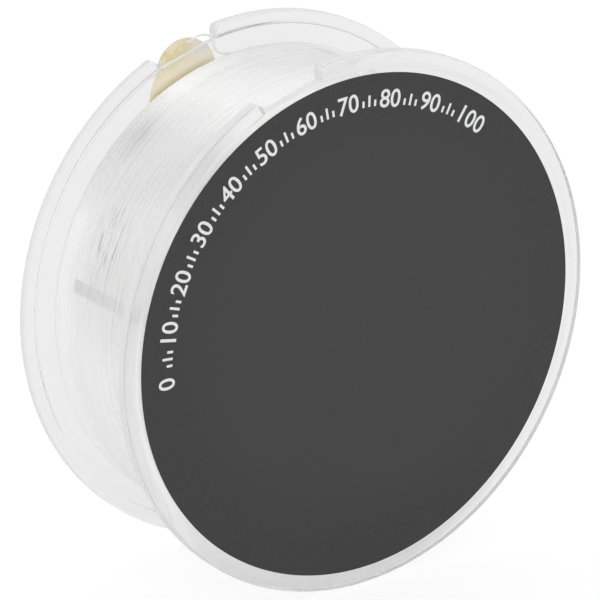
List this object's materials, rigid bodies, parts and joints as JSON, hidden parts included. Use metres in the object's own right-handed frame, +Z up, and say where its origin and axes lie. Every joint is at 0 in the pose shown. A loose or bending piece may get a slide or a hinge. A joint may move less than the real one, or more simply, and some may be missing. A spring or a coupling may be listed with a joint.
{
  "type": "fishing line spool",
  "caption": "Clear plastic line spool with two beaded flanges, a ribbed drum and blind hub bore, wound with clear monofilament, its end held by a small yellow sticker.",
  "frame": {"origin": "middle of the spool, on its axis and halfway between the outer faces of the two rim beads", "axes": "+Y along the spool's axis, out of the open rear end, so the label faces -Y; +Z up as it stands on its rims; the thread notches are at the top, to the left as seen from the front"},
  "size_m": [0.068, 0.0236, 0.068],
  "materials": {
    "clear_plastic": "gloss",
    "label_print": "satin",
    "line": "gloss",
    "yellow_paper": "matte"
  },
  "bodies": {
    "root": {"front_flange": "clear_plastic", "drum": "clear_plastic", "drum_ribs": "clear_plastic", "hub_tube": "clear_plastic", "rear_flange": "clear_plastic", "rear_collar": "clear_plastic", "front_label": "label_print", "line_inner_turns": "line", "line_outer_turns": "line", "line_end_sticker": "yellow_paper"}
  },
  "joints": []
}
